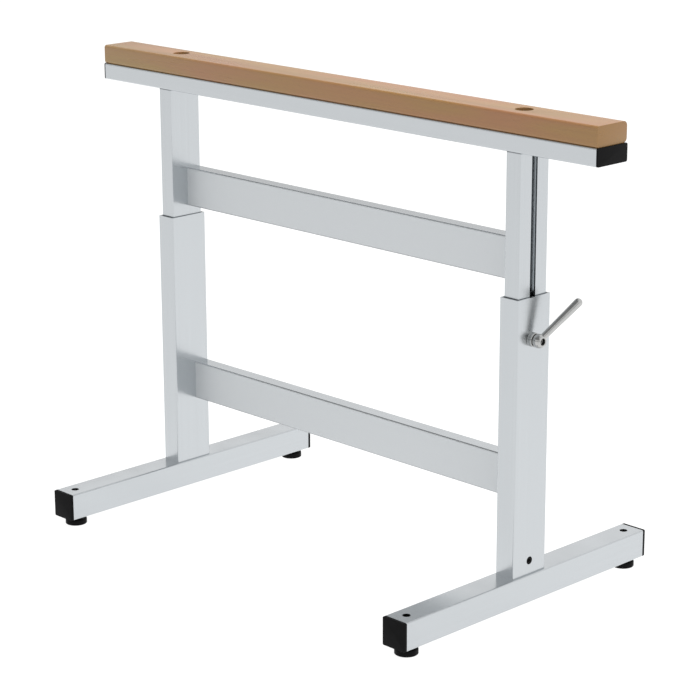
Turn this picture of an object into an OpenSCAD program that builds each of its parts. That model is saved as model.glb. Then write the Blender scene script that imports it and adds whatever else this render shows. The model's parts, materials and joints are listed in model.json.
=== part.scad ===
// Height-adjustable trestle: a beech bar on an upper frame whose two posts slide in two sleeves.
// Each sleeve stands on a T foot with levelling pads, and a lever on its outer face clamps the post.
// X runs along the bar, Y along the feet and Z up, with the origin on the floor under the middle.

/* [Top bar] */
// Length of the beech bar
bar_length = 1000; // [900:5:1300]
// Depth of the bar from front to back
bar_depth = 60.4; // [50:0.2:80]
// Height of the bar
bar_height = 28.6; // [22:0.2:40]
// Rounding of the bar's long edges
bar_edge_r = 6.5; // [1:0.5:8]
// Distance between the two holes in the bar's top
bar_hole_spacing = 699; // [500:1:850]
// Diameter of the counterbore in the bar's top
bar_hole_d = 25; // [23.5:0.5:32]
// Depth of the counterbore
bar_hole_depth = 14; // [9:0.5:17]

/* [Rails] */
// Wide side of the rail tube that makes the beam and both cross rails
rail_wide = 60.4; // [50:0.2:80]
// Narrow side of the rail tube
rail_narrow = 25; // [22:0.5:28]
// Wall of the rail tube
rail_wall = 2; // [1.5:0.1:2.6]
// Outer corner radius of the rail tube
rail_corner_r = 2.5; // [1:0.1:3]
// Distance of the beam tube's ends in from the bar's ends
beam_inset = 0.75; // [0:0.25:10]
// Distance of the cross rails' back faces in from the posts' back faces
rail_setback = 1.5; // [0:0.1:4]

/* [Posts] */
// Distance between the middles of the two posts
post_spacing = 714.4; // [640:0.2:840]
// Width of an inner post along the bar
inner_wide_x = 25.6; // [23:0.1:26.6]
// Depth of an inner post from front to back
inner_deep_y = 57.5; // [50:0.1:60]
// Wall of an inner post
inner_wall = 2.5; // [2:0.1:3]
// Outer corner radius of an inner post
inner_corner_r = 1.5; // [1:0.1:2.5]
// Thickness of the web and ribs round the channel behind an inner post's slot
web_t = 2; // [1.5:0.1:2.5]
// Width of that channel
channel_w = 25.8; // [25:0.1:34]
// Width of the slot down an inner post's outer face
slot_w = 11.2; // [9:0.1:14]
// Width of a sleeve along the bar
sleeve_wide_x = 33; // [31.8:0.1:37]
// Depth of a sleeve from front to back
sleeve_deep_y = 66.8; // [64.2:0.1:74]
// Wall of a sleeve
sleeve_wall = 2.5; // [2.3:0.1:2.7]
// Outer corner radius of a sleeve
sleeve_corner_r = 2; // [1:0.1:3]
// Length of a sleeve
sleeve_length = 400.2; // [360:0.2:500]

/* [Heights] */
// Rise of the lower cross rail's underside over the foot
lower_rail_rise = 100.2; // [60:0.2:240]
// Gap between the sleeves' mouths and the upper cross rail at the height shown
upper_rail_gap = 14.8; // [10:0.2:60]
// Rise of the beam's underside over the sleeves' mouths at the height shown
beam_rise = 199.8; // [150:0.2:260]

/* [Feet] */
// Side of the square foot tube
foot_side = 41; // [36:0.5:50]
// Wall of the foot tube
foot_wall = 2.5; // [2:0.1:3]
// Outer corner radius of the foot tube
foot_corner_r = 2; // [1:0.1:3]
// Length of a foot tube
foot_length = 498; // [420:1:600]
// Distance of a levelling pad's axis in from the foot tube's end
pad_inset = 20; // [19:0.5:60]
// Diameter of the hole over each levelling spindle
key_hole_d = 11.5; // [10:0.1:13]

/* [End caps] */
// Thickness of a foot cap's plate
foot_cap_t = 4.8; // [3:0.1:8]
// Thickness of a beam cap's plate
beam_cap_t = 2.5; // [2:0.1:6]
// Rounding of the caps' outer edges
cap_edge = 1.2; // [0.5:0.1:1.6]
// Length of the part of a cap that sits in its tube
cap_plug_length = 12; // [8:1:13]
// Wall of that part
cap_plug_wall = 2.2; // [1.5:0.1:3]

/* [Levelling pads] */
// Diameter of a levelling pad
pad_d = 33; // [28:0.5:44]
// Height of a levelling pad
pad_height = 9.2; // [8:0.1:14]
// Rounding of the pad's top edge
pad_edge_r = 3; // [1:0.1:4]
// Diameter of the levelling spindle
spindle_d = 10; // [9:0.1:10.4]
// Rise of the spindle's top end over the foot's underside
spindle_rise = 26; // [20:0.5:29]
// Diameter of the spindle's stub in the pad
stub_d = 8; // [6:0.1:9]
// Depth of the spindle's stub in the pad
stub_depth = 5; // [3:0.1:6]
// Width across the flats of the spindle's hexagon
hexagon_af = 14; // [12:0.5:17]
// Height of the spindle's hexagon
hexagon_height = 2.4; // [2:0.1:5]
// Diameter of the threaded insert's flange
insert_flange_d = 17; // [16:0.5:22]
// Thickness of the threaded insert's flange
insert_flange_t = 1.5; // [1:0.1:3]
// Diameter of the threaded insert's body
insert_d = 13; // [12.4:0.1:15]
// Length of the threaded insert's body in the tube
insert_length = 17; // [12:0.5:20]

/* [Clamp] */
// Depth of the clamp's axis under the sleeve's mouth
clamp_drop = 60; // [55:1:110]
// Diameter of the clamp stud
stud_d = 8; // [6:0.1:8.4]
// Reach of the stud's outer end from the sleeve's face
stud_reach = 10.5; // [9:0.5:15]
// Diameter of the thick washer under the lever
clamp_washer_d = 20; // [16:0.5:26]
// Thickness of that washer
clamp_washer_t = 4; // [2:0.1:4.5]
// Diameter of the lever's ball
ball_d = 20; // [18:0.5:24]
// Distance of the ball's middle from the sleeve's face
ball_out = 10; // [9.5:0.1:14]
// Distance from the ball's middle to the flat on its front
ball_flat = 7; // [5:0.1:8]
// Diameter of the hole in the ball's front
hub_hole_d = 9.8; // [8.8:0.1:12]
// Depth of that hole
hub_hole_depth = 6; // [3:0.5:8]
// Diameter of the neck under the ball
neck_d = 13; // [12:0.5:15]
// Width of the groove between the washer and the ball
neck_groove = 1.4; // [0.5:0.1:2]
// Length of the lever's arm from the ball's middle to the middle of its round tip
arm_length = 74; // [60:0.2:120]
// Diameter of the arm at the ball
arm_root_d = 9; // [6:0.1:10]
// Diameter of the arm's round tip
arm_tip_d = 12.1; // [8:0.1:14]
// Angle of the arm out from the sleeve's face
arm_lean = 22.6; // [15:0.1:35]
// Angle of the arm up from the level
arm_rise = 47.8; // [0:0.1:90]
// Depth of the nut plate from front to back
nut_plate_y = 24; // [16:1:24]
// Height of the nut plate
nut_plate_z = 30; // [20:1:36]
// Thickness of the nut plate
nut_plate_t = 7; // [4:0.5:8]

/* [Inner pieces] */
// Length of the slide bush in a sleeve's mouth
bush_length = 40; // [20:1:44]
// Depth of the bush under the mouth's edge
bush_recess = 1; // [0.2:0.1:5]
// Height of the sliding plug's flange under an inner post
plug_flange_t = 8; // [4:0.5:12]
// Height of the sliding plug in the inner post
plug_height = 12; // [6:1:20]
// Height of the block in a sleeve's foot
base_block_height = 32; // [30:1:50]
// Height of the block in an inner post's head
head_block_height = 30; // [24:1:60]
// Length of the spigot block in a rail's end
spigot_length = 30; // [24:1:60]

/* [Screws] */
// Rise of the dark screw in the sleeve's outer face over the foot
base_screw_rise = 20.1; // [15:0.1:22]
// Diameter of the hole that the dark screw's head sits in
base_screw_hole_d = 11.5; // [10.5:0.1:13]
// Depth of the dark screw's head under the sleeve's face
base_screw_recess = 0.7; // [0.2:0.1:1.2]
// Diameter of the bolts in the feet and the top bar
bolt_d = 8; // [6:0.1:8.4]
// Diameter of the screws in the posts' heads and feet
screw_d = 6; // [5:0.1:6.4]
// Diameter of the countersunk screws in the rails' ends
rail_screw_d = 5; // [4:0.1:5.4]
// Distance between the two foot bolts under a sleeve
base_bolt_spacing = 36; // [28:1:40]
// Distance between the two screws in a post's head
head_screw_spacing = 32; // [24:1:36]
// Distance between the two screws in a rail's end
rail_screw_spacing = 30; // [20:1:36]

/* [Fits] */
// Gap on each side between pieces that slide on each other
slide_gap = 0.3; // [0.2:0.05:0.35]
// Radial gap between a shaft and the hole that it turns in
run_gap = 0.05; // [0.03:0.01:0.1]
// Gap on each side between a fixed piece and its seat
fit_gap = 0.05; // [0.02:0.01:0.1]
// Play on each side of a bolt in a plain hole
bolt_play = 0.3; // [0.2:0.05:0.5]

/* [Hidden] */
$fn = 48;
left = -1;
right = 1;
front = -1;
back = 1;

// Corner radius inside every tube, and of the blocks that sit there
hollow_r = 1;
// Overlap that carries a cut past a face
cut = 1;

// Screw head shapes
bolt_head_d = 13;
bolt_head_h = 8;
bolt_key_af = 6;
bar_head_d = 14;
bar_head_h = 5;
bar_key_af = 5;
screw_head_d = 10;
screw_head_h = 6;
screw_key_af = 5;
flat_head_play = 0.1;
flat_head_d = rail_screw_d + 4;
flat_head_h = (flat_head_d - rail_screw_d) / 2;
flat_key_af = 3;
dark_key_af = 4;
key_share = 0.55;
rail_screw_length = 20;
set_screw_length = 9;
set_screw_inset = 15;
base_bolt_grip = 22;
base_screw_grip = 18;
head_screw_grip = 20;
bar_washer_d = 22;
bar_washer_t = 1.6;
bar_nut_d = 11;
bar_nut_flange_d = 14;
bar_nut_flange_t = 1;
bar_nut_length = 14;
tool_hole_play = 1;

// Heights over the floor
foot_z = pad_height + run_gap + hexagon_height + run_gap + insert_flange_t;
foot_top = foot_z + foot_side;
sleeve_top = foot_top + sleeve_length;
lower_rail_z = foot_top + lower_rail_rise;
upper_rail_z = sleeve_top + upper_rail_gap;
beam_z = sleeve_top + beam_rise;
bar_z = beam_z + rail_narrow;
bar_top = bar_z + bar_height;
bar_seat_z = bar_top - bar_hole_depth;
clamp_z = sleeve_top - clamp_drop;
base_block_top = foot_top + base_block_height;
spindle_top = foot_z + spindle_rise;

// Room that the sliding plug keeps over the base block when the upper rail meets the mouths
plug_stop = 1;
plug_z = base_block_top + upper_rail_gap + plug_stop;
inner_z = plug_z + plug_flange_t;

// Places along the bar
post_x = post_spacing / 2;
bar_hole_x = bar_hole_spacing / 2;
beam_length = bar_length - 2 * beam_inset;

// Place of the levelling spindles from front to back
pad_y = foot_length / 2 - pad_inset;

// Hollows of the tubes
rail_hollow_wide = rail_wide - 2 * rail_wall;
rail_hollow_narrow = rail_narrow - 2 * rail_wall;
inner_hollow_x = inner_wide_x - 2 * inner_wall;
inner_hollow_y = inner_deep_y - 2 * inner_wall;
sleeve_hollow_x = sleeve_wide_x - 2 * sleeve_wall;
sleeve_hollow_y = sleeve_deep_y - 2 * sleeve_wall;
foot_hollow = foot_side - 2 * foot_wall;

// Cross rails: length between the posts, and the middle from front to back
lower_rail_length = post_spacing - sleeve_wide_x;
upper_rail_length = post_spacing - inner_wide_x;
lower_rail_y = (sleeve_deep_y - rail_narrow) / 2 - rail_setback;
upper_rail_y = (inner_deep_y - rail_narrow) / 2 - rail_setback;

// Clamp places, measured out from the post's middle
sleeve_face = sleeve_wide_x / 2;
plate_face = inner_hollow_x / 2 - slide_gap;
key_face = inner_wide_x / 2 - slide_gap;
plate_back = plate_face - nut_plate_t;

// The web is the channel's floor, behind the nut plate, and leaves a room for the blocks in the post's two ends
web_face = plate_back - slide_gap;
channel_depth = inner_hollow_x / 2 - web_face;
room_x = web_face - web_t + inner_hollow_x / 2;
room_middle = (room_x - inner_hollow_x) / 2;
head_block_x = post_x + room_middle;

// Shared shapes

// Turns a shape made for the right side into its mirror image on the left
module on_side(side) {
    mirror([side < 0 ? 1 : 0, 0, 0]) children();
}

// Rectangle with round corners, about its middle
module round_rect(w, d, r) {
    square([w - 2 * r, d], center = true);
    square([w, d - 2 * r], center = true);
    for (x = [-1, 1], y = [-1, 1])
        translate([x * (w / 2 - r), y * (d / 2 - r)])
            circle(r = r);
}

// Section of a drawn tube
module tube_section(w, d, wall, r) {
    difference() {
        round_rect(w, d, r);
        round_rect(w - 2 * wall, d - 2 * wall, hollow_r);
    }
}

// Extrusion along X of a flat shape whose own x is Y and whose own y is Z
module along_x(length) {
    rotate([90, 0, 90])
        linear_extrude(length, center = true)
            children();
}

// Extrusion along Y of a flat shape whose own x is X and whose own y is Z
module along_y(length) {
    rotate([90, 0, 0])
        linear_extrude(length, center = true)
            children();
}

// Block that fills a hollow but for the fit gap, standing on the level
module hollow_block(w, d, h) {
    linear_extrude(h)
        round_rect(w - 2 * fit_gap, d - 2 * fit_gap, hollow_r);
}

// Upright rod or hole
module rod(d, h) {
    cylinder(d = d, h = h);
}

// Hexagonal bar or recess, upright
module hexagon(af, h) {
    cylinder(d = af / cos(30), h = h, $fn = 6);
}

// Cap screw with its head up: the underside of the head is at the level, the shank hangs below
module cap_screw(d, grip, head_d, head_h, key_af) {
    difference() {
        union() {
            rod(head_d, head_h);
            translate([0, 0, -grip])
                rod(d, grip + head_h * (1 - key_share) / 2);
        }
        translate([0, 0, head_h * (1 - key_share)])
            hexagon(key_af, head_h);
    }
}

// Countersunk screw with its head up and flush with the level
module flat_screw(length) {
    difference() {
        union() {
            translate([0, 0, -flat_head_h])
                cylinder(d1 = rail_screw_d, d2 = flat_head_d, h = flat_head_h);
            translate([0, 0, -length])
                rod(rail_screw_d, length - flat_head_h / 2);
        }
        translate([0, 0, -flat_head_h * key_share])
            hexagon(flat_key_af, flat_head_h);
    }
}

// Hole for a countersunk screw whose head is flush with the level
module flat_hole(depth) {
    hole_d = rail_screw_d + 2 * flat_head_play;
    head_hole_d = flat_head_d + 2 * flat_head_play;
    translate([0, 0, -flat_head_h])
        cylinder(d1 = hole_d, d2 = head_hole_d, h = flat_head_h);
    rod(head_hole_d, cut);
    translate([0, 0, -depth])
        rod(hole_d, depth);
}

// End cap for a tube: a plate with eased outer edges and a hollow plug, with the plate's seat at the level
module end_cap(w, d, r, wall, plate_t) {
    translate([0, 0, plate_t - cap_edge])
        hull() {
            linear_extrude(cap_edge / 2)
                round_rect(w, d, r);
            linear_extrude(cap_edge)
                round_rect(w - cap_edge, d - cap_edge, r);
        }
    linear_extrude(plate_t - cap_edge)
        round_rect(w, d, r);
    translate([0, 0, -cap_plug_length])
        linear_extrude(cap_plug_length)
            difference() {
                plug_w = w - 2 * wall - 2 * fit_gap;
                plug_d = d - 2 * wall - 2 * fit_gap;
                round_rect(plug_w, plug_d, hollow_r);
                round_rect(plug_w - 2 * cap_plug_wall, plug_d - 2 * cap_plug_wall, hollow_r);
            }
}

// Puts a shape at the place of one levelling spindle
module at_pad(side, end) {
    translate([side * post_x, end * pad_y, 0]) children();
}

// Puts copies of an upright shape at the two foot bolts of the right sleeve
module at_base_bolts(z) {
    for (end = [front, back])
        translate([post_x, end * base_bolt_spacing / 2, z])
            children();
}

// Puts copies of an upright shape at the two screws of the right post's head
module at_head_screws(z) {
    for (end = [front, back])
        translate([head_block_x, end * head_screw_spacing / 2, z])
            children();
}

// Puts copies of a shape at the two screws of a rail's right end, with its own Z towards the outside
module at_rail_screws(x, y, z) {
    for (step = [-1, 1])
        translate([x, y, z + rail_wide / 2 + step * rail_screw_spacing / 2])
            rotate([0, 90, 0])
                children();
}

// Puts a shape on the right clamp's axis, with its own Z outwards from the post's middle
module on_clamp_axis(out) {
    translate([post_x + out, 0, clamp_z])
        rotate([0, 90, 0])
            children();
}

// Base

module foot(side) {
    color("silver")
        on_side(side)
            difference() {
                translate([post_x, 0, foot_z + foot_side / 2])
                    along_y(foot_length)
                        tube_section(foot_side, foot_side, foot_wall, foot_corner_r);
                for (end = [front, back])
                    at_pad(right, end) {
                        translate([0, 0, foot_top - foot_wall - cut])
                            rod(key_hole_d, foot_wall + 2 * cut);
                        translate([0, 0, foot_z - cut])
                            rod(insert_d + 2 * fit_gap, foot_wall + 2 * cut);
                    }
                at_base_bolts(foot_top - foot_wall - cut)
                    rod(bolt_d + 2 * bolt_play, foot_wall + 2 * cut);
                at_base_bolts(foot_z - cut)
                    rod(bolt_head_d + 2 * tool_hole_play, foot_wall + 2 * cut);
            }
}

module foot_cap(side, end) {
    color([0.1, 0.1, 0.1])
        translate([side * post_x, end * foot_length / 2, foot_z + foot_side / 2])
            rotate([-end * 90, 0, 0])
                end_cap(foot_side, foot_side, foot_corner_r, foot_wall, foot_cap_t);
}

module sleeve(side) {
    color("silver")
        on_side(side)
            difference() {
                translate([post_x, 0, foot_top])
                    linear_extrude(sleeve_length)
                        tube_section(sleeve_wide_x, sleeve_deep_y, sleeve_wall, sleeve_corner_r);
                on_clamp_axis(sleeve_face - sleeve_wall - cut)
                    rod(stud_d + 2 * bolt_play, sleeve_wall + 2 * cut);
                translate([post_x + sleeve_face - sleeve_wall - cut, 0, foot_top + base_screw_rise])
                    rotate([0, 90, 0])
                        rod(base_screw_hole_d, sleeve_wall + 2 * cut);
                at_rail_screws(post_x - sleeve_face + sleeve_wall, lower_rail_y, lower_rail_z)
                    flat_hole(sleeve_wall + cut);
            }
}

module sleeve_bush(side) {
    color("dimgray")
        on_side(side)
            translate([post_x, 0, sleeve_top - bush_recess - bush_length])
                linear_extrude(bush_length)
                    difference() {
                        round_rect(sleeve_hollow_x - 2 * fit_gap, sleeve_hollow_y - 2 * fit_gap, hollow_r);
                        round_rect(inner_wide_x + 2 * slide_gap, inner_deep_y + 2 * slide_gap, inner_corner_r);
                    }
}

module base_block(side) {
    color("gainsboro")
        on_side(side)
            difference() {
                translate([post_x, 0, foot_top])
                    hollow_block(sleeve_hollow_x, sleeve_hollow_y, base_block_height);
                at_base_bolts(foot_top - cut)
                    rod(bolt_d + 2 * fit_gap, base_bolt_grip + 2 * cut);
                translate([post_x + sleeve_face, 0, foot_top + base_screw_rise])
                    rotate([0, -90, 0])
                        rod(screw_d + 2 * fit_gap, base_screw_grip + sleeve_wall + cut);
            }
}

module base_bolts(side) {
    color("darkgray")
        on_side(side)
            at_base_bolts(foot_top - foot_wall)
                rotate([180, 0, 0])
                    cap_screw(bolt_d, foot_wall + base_bolt_grip, bolt_head_d, bolt_head_h, bolt_key_af);
}

module base_screws() {
    head_h = sleeve_wall - base_screw_recess - fit_gap;
    color([0.12, 0.12, 0.12])
        for (side = [left, right])
            on_side(side)
                translate([post_x + sleeve_face - sleeve_wall + fit_gap, 0, foot_top + base_screw_rise])
                    rotate([0, 90, 0])
                        cap_screw(screw_d, base_screw_grip, base_screw_hole_d - bolt_play, head_h, dark_key_af);
}

module rail_tube(length, y, z) {
    translate([0, y, z + rail_wide / 2])
        along_x(length)
            tube_section(rail_narrow, rail_wide, rail_wall, rail_corner_r);
}

// Hole in a rail's underside, near both ends, for the set screw that holds the spigot
module set_screw_holes(length, y, z) {
    for (side = [left, right])
        translate([side * (length / 2 - set_screw_inset), y, z - cut])
            rod(screw_d + 2 * fit_gap, rail_wall + 2 * cut);
}

// Spigot block in a rail's right end
module spigot(length, y, z) {
    difference() {
        translate([length / 2 - spigot_length / 2, y, z + rail_wide / 2])
            along_x(spigot_length)
                round_rect(rail_hollow_narrow - 2 * fit_gap, rail_hollow_wide - 2 * fit_gap, hollow_r);
        at_rail_screws(length / 2 - rail_screw_length - cut, y, z)
            rod(rail_screw_d + 2 * fit_gap, rail_screw_length + 2 * cut);
        translate([length / 2 - set_screw_inset, y, z])
            rod(screw_d + 2 * fit_gap, set_screw_length + cut);
    }
}

// The two countersunk screws and the set screw of a rail's right end
module rail_screws(length, y, z, wall) {
    at_rail_screws(length / 2 + wall - flat_head_play / 2, y, z)
        flat_screw(rail_screw_length);
    translate([length / 2 - set_screw_inset, y, z])
        difference() {
            rod(screw_d, set_screw_length);
            translate([0, 0, -cut])
                hexagon(flat_key_af, set_screw_length / 2 + cut);
        }
}

module lower_rail() {
    color("silver")
        difference() {
            rail_tube(lower_rail_length, lower_rail_y, lower_rail_z);
            set_screw_holes(lower_rail_length, lower_rail_y, lower_rail_z);
        }
}

module lower_spigot(side) {
    color("gainsboro")
        on_side(side)
            spigot(lower_rail_length, lower_rail_y, lower_rail_z);
}

module lower_screws(side) {
    color("darkgray")
        on_side(side)
            rail_screws(lower_rail_length, lower_rail_y, lower_rail_z, sleeve_wall);
}

module inserts(side) {
    color("darkgray")
        for (end = [front, back])
            at_pad(side, end)
                translate([0, 0, foot_z])
                    difference() {
                        union() {
                            translate([0, 0, -insert_flange_t])
                                rod(insert_flange_d, insert_flange_t);
                            rod(insert_d, insert_length);
                        }
                        translate([0, 0, -insert_flange_t - cut])
                            rod(spindle_d + 2 * run_gap, insert_flange_t + insert_length + 2 * cut);
                    }
}

// Clamp

module clamp_stud(side) {
    color([0.12, 0.12, 0.12])
        on_side(side)
            on_clamp_axis(plate_back)
                rod(stud_d, sleeve_face + stud_reach - plate_back);
}

module nut_plate(side) {
    color("darkgray")
        on_side(side)
            difference() {
                union() {
                    translate([post_x + plate_back, -nut_plate_y / 2, clamp_z - nut_plate_z / 2])
                        cube([nut_plate_t, nut_plate_y, nut_plate_z]);
                    key_w = slot_w - 2 * slide_gap;
                    translate([post_x + plate_back, -key_w / 2, clamp_z - nut_plate_z / 2])
                        cube([key_face - plate_back, key_w, nut_plate_z]);
                }
                on_clamp_axis(plate_back - cut)
                    rod(stud_d + 2 * fit_gap, key_face - plate_back + 2 * cut);
            }
}

module clamp_washer(side) {
    color("silver")
        on_side(side)
            on_clamp_axis(sleeve_face)
                difference() {
                    rod(clamp_washer_d, clamp_washer_t);
                    translate([0, 0, -cut])
                        rod(stud_d + 2 * bolt_play, clamp_washer_t + 2 * cut);
                }
}

// Outline of the arm: a straight taper that ends in a half ball
module arm_outline() {
    polygon([[0, 0], [arm_root_d / 2, 0], [arm_tip_d / 2, arm_length], [0, arm_length]]);
    translate([0, arm_length])
        intersection() {
            circle(d = arm_tip_d);
            square(arm_tip_d);
        }
}

module clamp_lever(side) {
    ball_x = post_x + sleeve_face + ball_out;
    neck_out = clamp_washer_t + run_gap;
    ball_cut = neck_out + neck_groove;
    color("lightgray")
        on_side(side)
            difference() {
                union() {
                    translate([ball_x, 0, clamp_z]) {
                        intersection() {
                            sphere(d = ball_d);
                            translate([ball_cut - ball_out, -ball_d, -ball_d])
                                cube([ball_out - ball_cut + ball_flat, 2 * ball_d, 2 * ball_d]);
                        }
                        rotate([arm_rise, 0, 0])
                            rotate([0, 0, -arm_lean])
                                rotate([-90, 0, 0])
                                    rotate_extrude()
                                        arm_outline();
                    }
                    on_clamp_axis(sleeve_face + neck_out)
                        rod(neck_d, ball_out - neck_out);
                }
                on_clamp_axis(sleeve_face)
                    rod(stud_d + 2 * run_gap, ball_out + ball_d);
                on_clamp_axis(sleeve_face + ball_out + ball_flat - hub_hole_depth)
                    rod(hub_hole_d, ball_d);
            }
}

// Upper frame

// Section of the right inner post: a tube with a slot in its outer face and a channel behind the slot
module post_section() {
    difference() {
        tube_section(inner_wide_x, inner_deep_y, inner_wall, inner_corner_r);
        translate([inner_wide_x / 2 - inner_wall - cut, -slot_w / 2])
            square([inner_wall + 2 * cut, slot_w]);
    }
    translate([web_face - web_t / 2, 0])
        square([web_t, inner_hollow_y + inner_wall], center = true);
    for (end = [front, back])
        translate([web_face + channel_depth / 2, end * (channel_w + web_t) / 2])
            square([channel_depth + web_t, web_t], center = true);
}

module inner_post(side) {
    color("silver")
        on_side(side)
            difference() {
                translate([post_x, 0, inner_z])
                    linear_extrude(beam_z - inner_z)
                        post_section();
                at_rail_screws(post_x - inner_wide_x / 2 + inner_wall, upper_rail_y, upper_rail_z)
                    flat_hole(inner_wall + cut);
            }
}

module slide_plug(side) {
    color("dimgray")
        on_side(side)
            translate([post_x, 0, plug_z]) {
                linear_extrude(plug_flange_t)
                    round_rect(sleeve_hollow_x - 2 * slide_gap, sleeve_hollow_y - 2 * slide_gap, hollow_r);
                translate([room_middle, 0, plug_flange_t])
                    hollow_block(room_x, inner_hollow_y, plug_height);
            }
}

module upper_rail() {
    color("silver")
        difference() {
            rail_tube(upper_rail_length, upper_rail_y, upper_rail_z);
            set_screw_holes(upper_rail_length, upper_rail_y, upper_rail_z);
        }
}

module upper_spigot(side) {
    color("gainsboro")
        on_side(side)
            spigot(upper_rail_length, upper_rail_y, upper_rail_z);
}

module upper_screws(side) {
    color("darkgray")
        on_side(side)
            rail_screws(upper_rail_length, upper_rail_y, upper_rail_z, inner_wall);
}

module head_block(side) {
    color("gainsboro")
        on_side(side)
            difference() {
                translate([head_block_x, 0, beam_z - head_block_height])
                    hollow_block(room_x, inner_hollow_y, head_block_height);
                at_head_screws(beam_z - head_screw_grip - cut)
                    rod(screw_d + 2 * fit_gap, head_screw_grip + 2 * cut);
            }
}

module head_screws(side) {
    color("darkgray")
        on_side(side)
            at_head_screws(beam_z + rail_wall)
                cap_screw(screw_d, rail_wall + head_screw_grip, screw_head_d, screw_head_h, screw_key_af);
}

module beam() {
    color("silver")
        difference() {
            translate([0, 0, beam_z + rail_narrow / 2])
                along_x(beam_length)
                    tube_section(rail_wide, rail_narrow, rail_wall, rail_corner_r);
            for (side = [left, right])
                on_side(side) {
                    translate([bar_hole_x, 0, bar_z - rail_wall - cut])
                        rod(bar_nut_d + 2 * fit_gap, rail_wall + 2 * cut);
                    at_head_screws(beam_z - cut)
                        rod(screw_d + 2 * bolt_play, rail_wall + 2 * cut);
                    at_head_screws(bar_z - rail_wall - cut)
                        rod(screw_head_d + 2 * tool_hole_play, rail_wall + 2 * cut);
                }
        }
}

module beam_cap(side) {
    color([0.1, 0.1, 0.1])
        translate([side * beam_length / 2, 0, beam_z + rail_narrow / 2])
            rotate([0, side * 90, 0])
                end_cap(rail_narrow, rail_wide, rail_corner_r, rail_wall, beam_cap_t);
}

module top_bar() {
    color("burlywood")
        difference() {
            translate([0, 0, bar_z + bar_height / 2])
                along_x(bar_length)
                    round_rect(bar_depth, bar_height, bar_edge_r);
            for (side = [left, right])
                translate([side * bar_hole_x, 0, 0]) {
                    translate([0, 0, bar_seat_z])
                        rod(bar_hole_d, bar_hole_depth + cut);
                    translate([0, 0, bar_z - cut])
                        rod(bolt_d + 2 * bolt_play, bar_height);
                    translate([0, 0, bar_z - cut])
                        rod(bar_nut_flange_d + 2 * bolt_play, cut + bar_nut_flange_t + fit_gap);
                }
        }
}

module bar_bolt(side) {
    seat = bar_seat_z + bar_washer_t;
    color("darkgray")
        translate([side * bar_hole_x, 0, seat])
            cap_screw(bolt_d, seat - bar_z + bar_nut_length, bar_head_d, bar_head_h, bar_key_af);
}

module bar_washers() {
    color("darkgray")
        for (side = [left, right])
            translate([side * bar_hole_x, 0, bar_seat_z])
                difference() {
                    rod(bar_washer_d, bar_washer_t);
                    translate([0, 0, -cut])
                        rod(bolt_d + 2 * bolt_play, bar_washer_t + 2 * cut);
                }
}

module bar_nuts() {
    color("darkgray")
        for (side = [left, right])
            translate([side * bar_hole_x, 0, bar_z])
                difference() {
                    union() {
                        rod(bar_nut_flange_d, bar_nut_flange_t);
                        translate([0, 0, -bar_nut_length])
                            rod(bar_nut_d, bar_nut_length);
                    }
                    translate([0, 0, -bar_nut_length - cut])
                        rod(bolt_d + 2 * fit_gap, bar_nut_length + bar_nut_flange_t + 2 * cut);
                }
}

// Levelling feet

// Outline of a pad: flat below, with a round top edge
module pad_outline() {
    square([pad_d / 2, pad_height - pad_edge_r]);
    square([pad_d / 2 - pad_edge_r, pad_height]);
    translate([pad_d / 2 - pad_edge_r, pad_height - pad_edge_r])
        intersection() {
            circle(r = pad_edge_r);
            square(pad_edge_r);
        }
}

module pad(side, end) {
    color([0.12, 0.12, 0.12])
        at_pad(side, end)
            difference() {
                rotate_extrude()
                    pad_outline();
                translate([0, 0, pad_height - stub_depth - run_gap])
                    rod(stub_d + 2 * run_gap, stub_depth + run_gap + cut);
            }
}

module spindle(side, end) {
    hexagon_z = pad_height + run_gap;
    key_depth = spindle_d * key_share;
    color("darkgray")
        at_pad(side, end)
            difference() {
                union() {
                    translate([0, 0, hexagon_z - stub_depth])
                        rod(stub_d, stub_depth + hexagon_height / 2);
                    translate([0, 0, hexagon_z])
                        hexagon(hexagon_af, hexagon_height);
                    translate([0, 0, hexagon_z + hexagon_height / 2])
                        rod(spindle_d, spindle_top - hexagon_z - hexagon_height / 2);
                }
                translate([0, 0, spindle_top - key_depth])
                    hexagon(screw_key_af, key_depth + cut);
            }
}

foot(left);  // foot_left
foot(right);  // foot_right
foot_cap(left, front);  // foot_cap_left_front
foot_cap(left, back);  // foot_cap_left_back
foot_cap(right, front);  // foot_cap_right_front
foot_cap(right, back);  // foot_cap_right_back
sleeve(left);  // sleeve_left
sleeve(right);  // sleeve_right
sleeve_bush(left);  // sleeve_bush_left
sleeve_bush(right);  // sleeve_bush_right
base_block(left);  // base_block_left
base_block(right);  // base_block_right
base_bolts(left);  // base_bolts_left
base_bolts(right);  // base_bolts_right
base_screws();
lower_rail();
lower_spigot(left);  // lower_spigot_left
lower_spigot(right);  // lower_spigot_right
lower_screws(left);  // lower_screws_left
lower_screws(right);  // lower_screws_right
inserts(left);  // inserts_left
inserts(right);  // inserts_right
clamp_stud(left);  // clamp_stud_left
clamp_stud(right);  // clamp_stud_right
nut_plate(left);  // nut_plate_left
nut_plate(right);  // nut_plate_right
clamp_washer(left);  // clamp_washer_left
clamp_washer(right);  // clamp_washer_right
clamp_lever(left);  // clamp_lever_left
clamp_lever(right);  // clamp_lever_right
inner_post(left);  // inner_post_left
inner_post(right);  // inner_post_right
slide_plug(left);  // slide_plug_left
slide_plug(right);  // slide_plug_right
upper_rail();
upper_spigot(left);  // upper_spigot_left
upper_spigot(right);  // upper_spigot_right
upper_screws(left);  // upper_screws_left
upper_screws(right);  // upper_screws_right
head_block(left);  // head_block_left
head_block(right);  // head_block_right
head_screws(left);  // head_screws_left
head_screws(right);  // head_screws_right
beam();
beam_cap(left);  // beam_cap_left
beam_cap(right);  // beam_cap_right
top_bar();
bar_bolt(left);  // bar_bolt_left
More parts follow.
